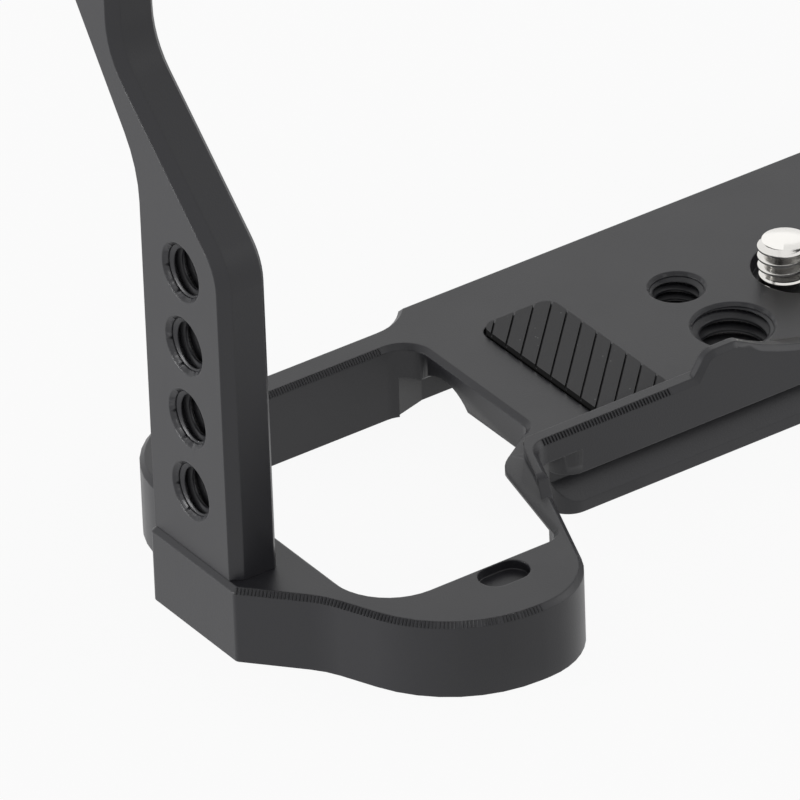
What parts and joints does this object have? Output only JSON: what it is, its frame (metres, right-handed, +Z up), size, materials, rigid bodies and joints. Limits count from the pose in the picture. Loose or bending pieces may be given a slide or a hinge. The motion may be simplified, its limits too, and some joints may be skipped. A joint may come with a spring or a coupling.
{
  "type": "camera cage",
  "caption": "Skeleton camera cage: flat base with a loop under the grip, leaning grip pillar, cable-side frame, top bar with a hump bay, dovetail foot and captive camera screw.",
  "frame": {"origin": "middle of the deck's 1/4 inch threaded hole, on the deck's top face", "axes": "+X along the deck from the grip side to the port side, +Y to the back of the camera, +Z up"},
  "size_m": [0.1481, 0.0638, 0.1019],
  "materials": {
    "anodised_aluminium": "black anodised, fine satin",
    "rubber": "matt ribbed rubber",
    "nickel_steel": "bright nickel plating",
    "nylon": "natural nylon",
    "spring_steel": "blackened spring steel",
    "black_steel": "black oxide",
    "pin_steel": "ground steel"
  },
  "bodies": {
    "cage": {"base_frame": "anodised_aluminium", "grip_upright": "anodised_aluminium", "port_upright": "anodised_aluminium", "top_plate": "anodised_aluminium", "grip_pad": "rubber", "port_pad": "rubber", "screw_clip": "spring_steel", "grip_foot_screws": "black_steel", "grip_foot_pin": "pin_steel", "port_foot_screws": "black_steel", "port_foot_pin": "pin_steel", "grip_top_screw": "black_steel", "grip_top_pin": "pin_steel", "port_top_screws": "black_steel", "port_top_pin": "pin_steel", "cold_shoe": "anodised_aluminium", "shoe_screws": "black_steel", "top_bumper": "rubber", "side_bumper": "rubber"},
    "washer": {"screw_washer": "nylon"},
    "screw": {"camera_screw": "nickel_steel"}
  },
  "joints": [
    {"name": "screw_slide", "type": "slide", "parent": "cage", "child": "washer", "axis": [1, 0, 0], "range_m": [0, 0.0056]},
    {"name": "screw_turn", "type": "hinge", "parent": "washer", "child": "screw", "pos_m": [0.0118, -0.0052, -0.0045], "axis": [0, 0, 1], "continuous": true}
  ]
}
